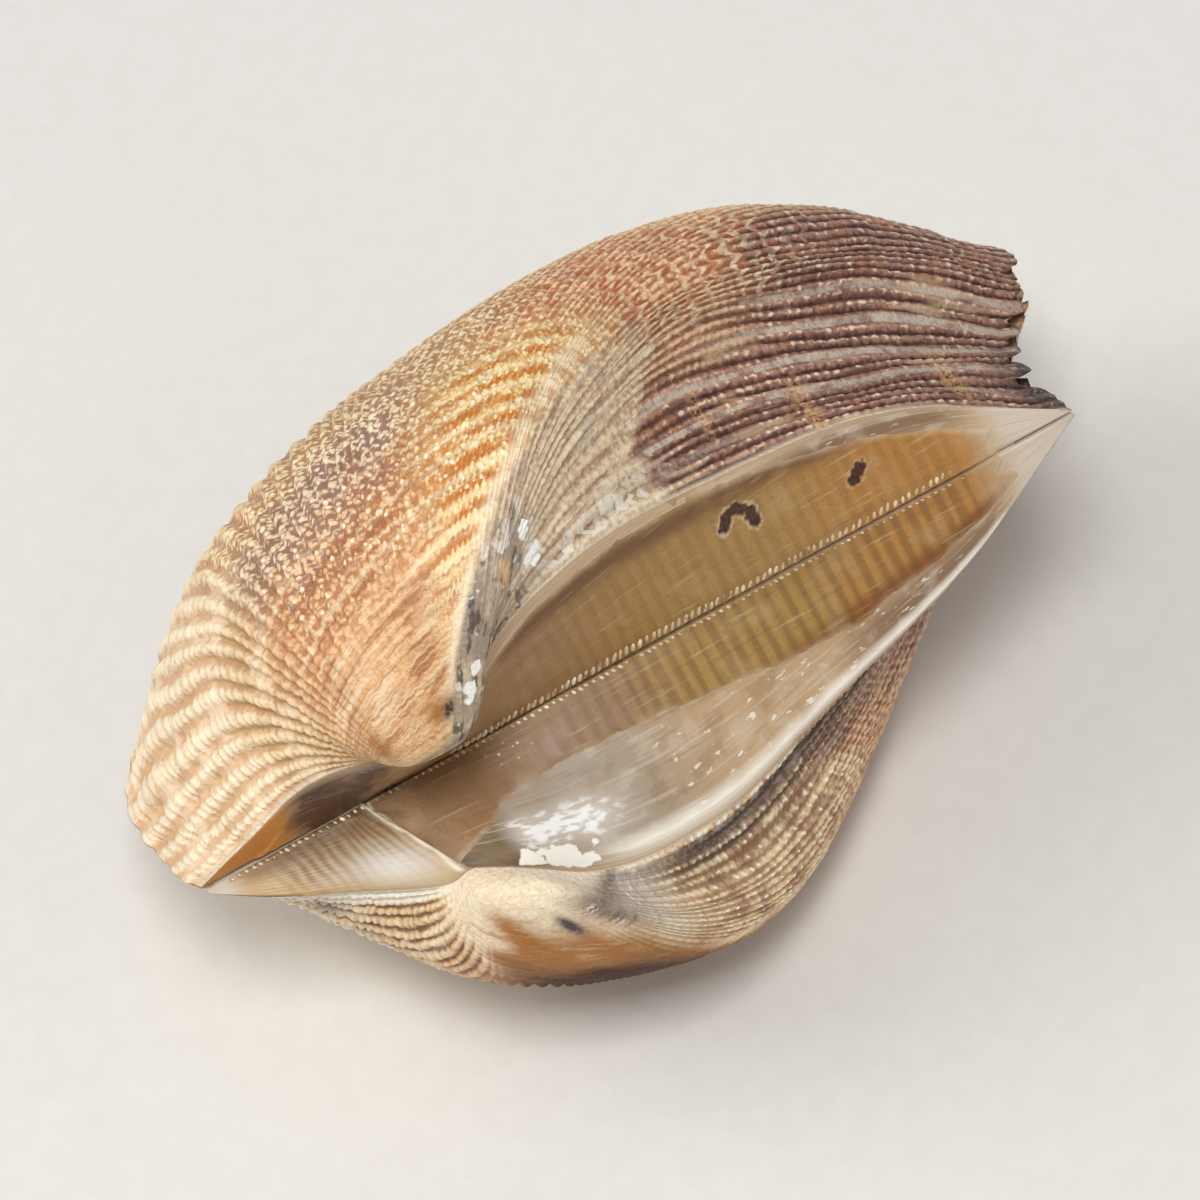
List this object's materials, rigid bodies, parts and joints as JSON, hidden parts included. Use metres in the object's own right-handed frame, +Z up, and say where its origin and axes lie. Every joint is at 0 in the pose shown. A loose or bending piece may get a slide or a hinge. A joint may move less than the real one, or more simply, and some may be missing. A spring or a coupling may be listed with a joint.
{
  "type": "ark clam shell",
  "caption": "Closed ark clam shell: a pair of hollow, inflated, keeled valves with a straight hinge, wide flat hinge area and inturned beaks.",
  "frame": {"origin": "middle of the box's underside, on the surface the shell lies on", "axes": "+X along the hinge towards the rear of the shell, +Z up, -Y the side that the hinge area and the beaks face; the shell lies on its left flank, right valve uppermost"},
  "size_m": [0.0682, 0.0444, 0.0428],
  "materials": {
    "right_valve_shell": "ribbed natural shell, orange-brown and purple-grey bands on cream, low natural gloss",
    "left_valve_shell": "ribbed natural shell, orange-brown and purple-grey bands on cream, low natural gloss",
    "dried_ligament": "glossy dried organic layer, golden to dark brown, finely striped across the hinge"
  },
  "bodies": {
    "root": {"right_valve": "right_valve_shell", "left_valve": "left_valve_shell", "ligament": "dried_ligament"}
  },
  "joints": []
}
